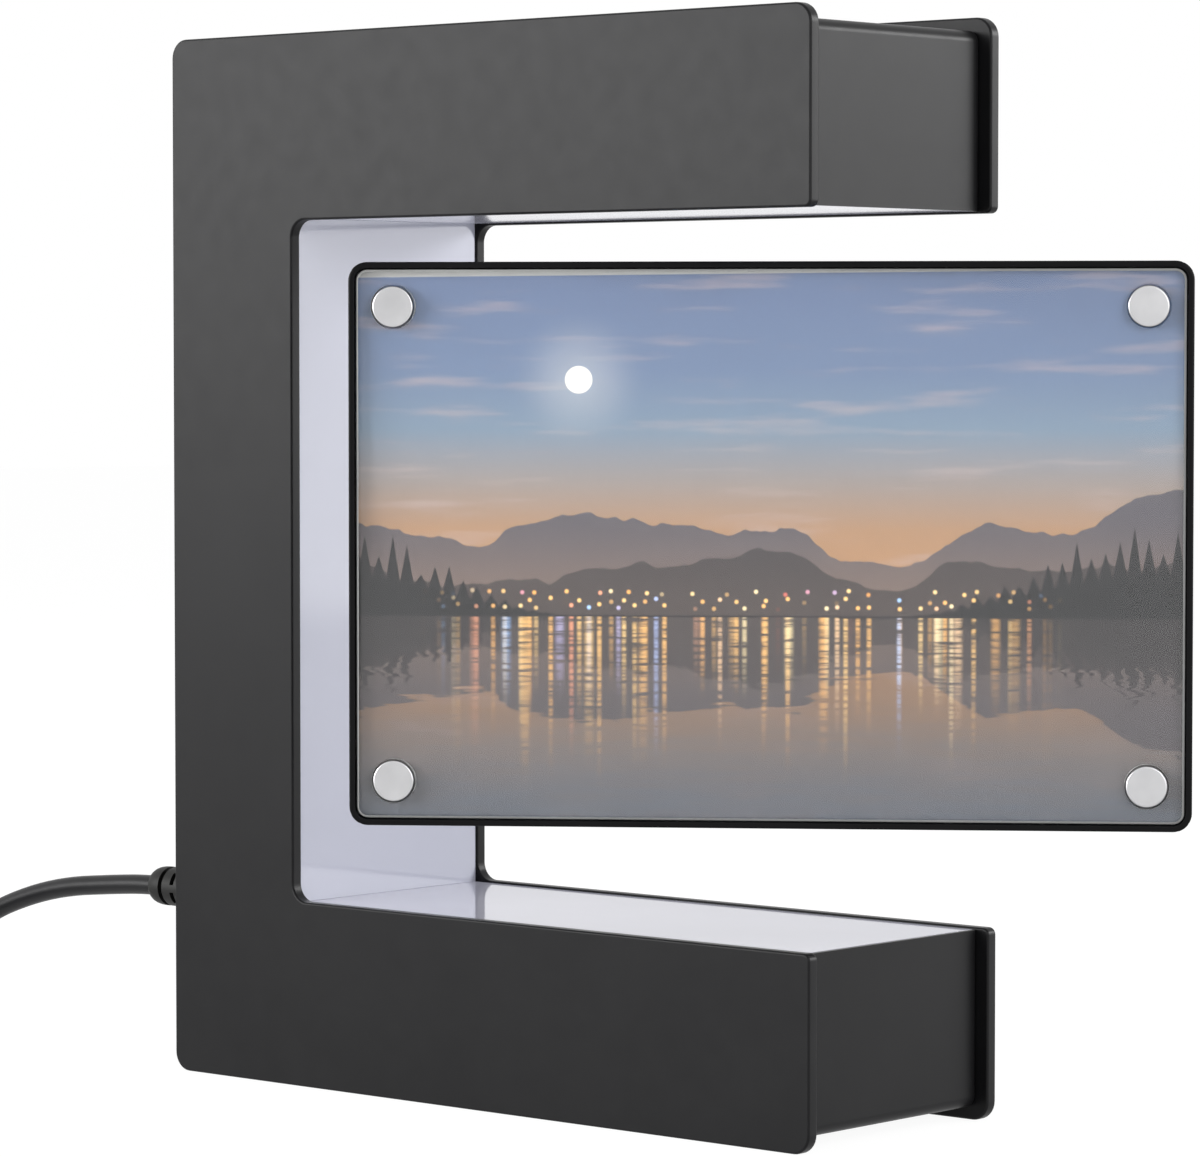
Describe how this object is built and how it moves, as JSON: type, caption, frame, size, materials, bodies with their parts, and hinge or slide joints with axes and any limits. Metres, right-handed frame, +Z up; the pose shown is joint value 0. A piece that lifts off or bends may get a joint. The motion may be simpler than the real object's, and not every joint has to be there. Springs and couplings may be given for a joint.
{
  "type": "levitating photo frame",
  "caption": "C-shaped desk stand with an electromagnet in its upper arm; a double-sided acrylic photo frame floats in the window and spins about a vertical axis.",
  "frame": {"origin": "On the floor under the middle of the object's bounding box, cord not counted.", "axes": "+X runs along the stand's arms from the spine towards their open ends, +Y runs from the front cheek to the rear cheek, +Z is up."},
  "size_m": [0.3516, 0.1092, 0.2],
  "materials": {
    "grey_satin": "satin moulded plastic",
    "opal": "glossy opal diffuser",
    "white_nylon": "matte moulded nylon",
    "black_epoxy": "matte",
    "circuit_board": "satin solder mask",
    "zinc_steel": "zinc plated",
    "copper": "enamelled copper wire",
    "foam_tape": "matte foam",
    "black_gloss": "gloss",
    "black_rubber": "satin moulded rubber",
    "satin_nickel": "satin nickel plate",
    "photo_paper": "glossy print",
    "clear_acrylic": "clear polished acrylic"
  },
  "bodies": {
    "stand": {"front_cheek": "grey_satin", "rear_cheek": "grey_satin", "cheek_screw_1": "zinc_steel", "cheek_screw_2": "zinc_steel", "cheek_screw_3": "zinc_steel", "cheek_screw_4": "zinc_steel", "cheek_screw_5": "zinc_steel", "cheek_screw_6": "zinc_steel", "core_band": "grey_satin", "upper_panel": "opal", "spine_panel": "opal", "lower_panel": "opal", "upper_led_strip": "white_nylon", "spine_led_strip": "white_nylon", "lower_led_strip": "white_nylon", "hall_sensor": "black_epoxy", "sensor_board": "circuit_board", "magnet_core": "zinc_steel", "magnet_bobbin": "white_nylon", "magnet_winding": "copper", "board_pad": "foam_tape", "control_board": "circuit_board", "driver_chip": "black_epoxy", "capacitor": "black_gloss", "inductor": "black_epoxy", "coil_terminal": "white_nylon", "power_terminal": "white_nylon", "light_terminal": "white_nylon", "coil_lead": "copper", "power_lead": "black_rubber", "light_lead": "copper", "cord_boot": "black_rubber", "power_cord": "black_rubber", "cord_coil": "black_rubber", "plug_grip": "black_rubber", "plug_shell": "satin_nickel", "plug_tongue": "white_nylon"},
    "picture": {"float_rim": "black_gloss", "lift_magnet": "satin_nickel", "corner_magnet_1": "satin_nickel", "corner_magnet_2": "satin_nickel", "corner_magnet_3": "satin_nickel", "corner_magnet_4": "satin_nickel", "front_print": "photo_paper", "rear_print": "photo_paper"},
    "front_cover": {"front_cover": "clear_acrylic", "front_disc_1": "satin_nickel", "front_disc_2": "satin_nickel", "front_disc_3": "satin_nickel", "front_disc_4": "satin_nickel"},
    "rear_cover": {"rear_cover": "clear_acrylic", "rear_disc_1": "satin_nickel", "rear_disc_2": "satin_nickel", "rear_disc_3": "satin_nickel", "rear_disc_4": "satin_nickel"}
  },
  "joints": [
    {"name": "picture_spin", "type": "hinge", "parent": "stand", "child": "picture", "pos_m": [0.04792, 0, 0.1049], "axis": [0, 0, 1], "continuous": true},
    {"name": "front_cover_pull", "type": "slide", "parent": "picture", "child": "front_cover", "axis": [0.5878, -0.809, 0], "range_m": [0, 0.02]},
    {"name": "rear_cover_pull", "type": "slide", "parent": "picture", "child": "rear_cover", "axis": [-0.5878, 0.809, 0], "range_m": [0, 0.02]}
  ]
}
